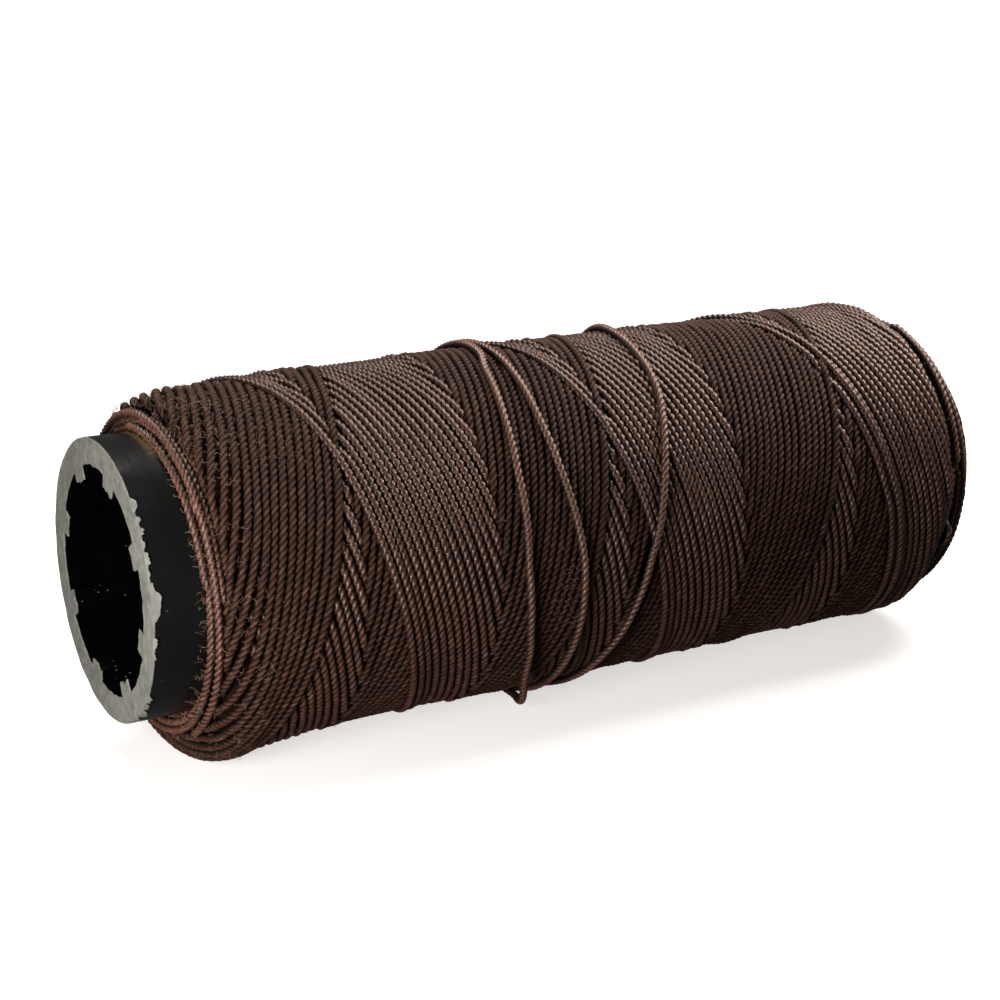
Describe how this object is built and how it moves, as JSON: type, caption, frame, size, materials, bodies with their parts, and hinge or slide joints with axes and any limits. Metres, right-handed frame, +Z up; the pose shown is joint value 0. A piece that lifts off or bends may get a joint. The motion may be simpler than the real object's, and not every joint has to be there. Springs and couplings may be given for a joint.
{
  "type": "thread spool",
  "caption": "Ribbed plastic tube, bare at one end, with a thick cross-wound package of waxed thread and a few loose finishing turns on it.",
  "frame": {"origin": "on the surface the spool lies on, under the middle of its tube", "axes": "+X along the tube's axis, from the end that shows a bare collar of tube to the other end; +Z up; -Y is the side seen from the front"},
  "size_m": [0.112, 0.0436, 0.0436],
  "materials": {
    "tube_plastic": "near-black moulded plastic, glossy outside, with dull sawn end faces",
    "thread": "dark brown waxed three-ply thread with a soft sheen"
  },
  "bodies": {
    "root": {"core_tube": "tube_plastic", "inner_layers": "thread", "outer_layers": "thread", "finishing_turns": "thread"}
  },
  "joints": []
}
